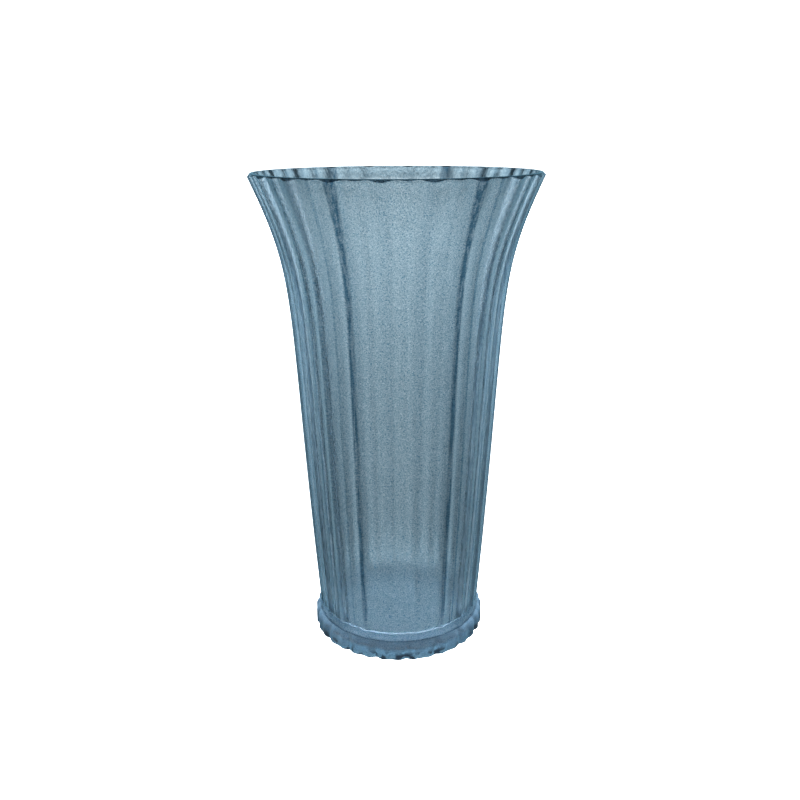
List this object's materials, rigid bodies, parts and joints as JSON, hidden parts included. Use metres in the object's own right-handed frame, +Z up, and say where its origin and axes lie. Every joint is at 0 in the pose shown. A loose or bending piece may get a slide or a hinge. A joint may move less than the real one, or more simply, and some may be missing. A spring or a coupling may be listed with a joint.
{
  "type": "flared ribbed vase",
  "caption": "Tall flared glass vase with vertical ribs, a bevelled rim and a notched round foot.",
  "frame": {"origin": "centre of the foot's resting ring, on the surface that the vase stands on", "axes": "+Z up along the vase's axis, a main rib on +X and one on -Y, which faces the front"},
  "size_m": [0.1506, 0.1506, 0.255],
  "materials": {
    "bowl_glass": "blue-grey tinted glass, fire polished, with a fine satin grain",
    "foot_glass": "blue-grey tinted glass, polished above, with ground notches and a ground resting ring"
  },
  "bodies": {
    "root": {"bowl": "bowl_glass", "foot": "foot_glass"}
  },
  "joints": []
}
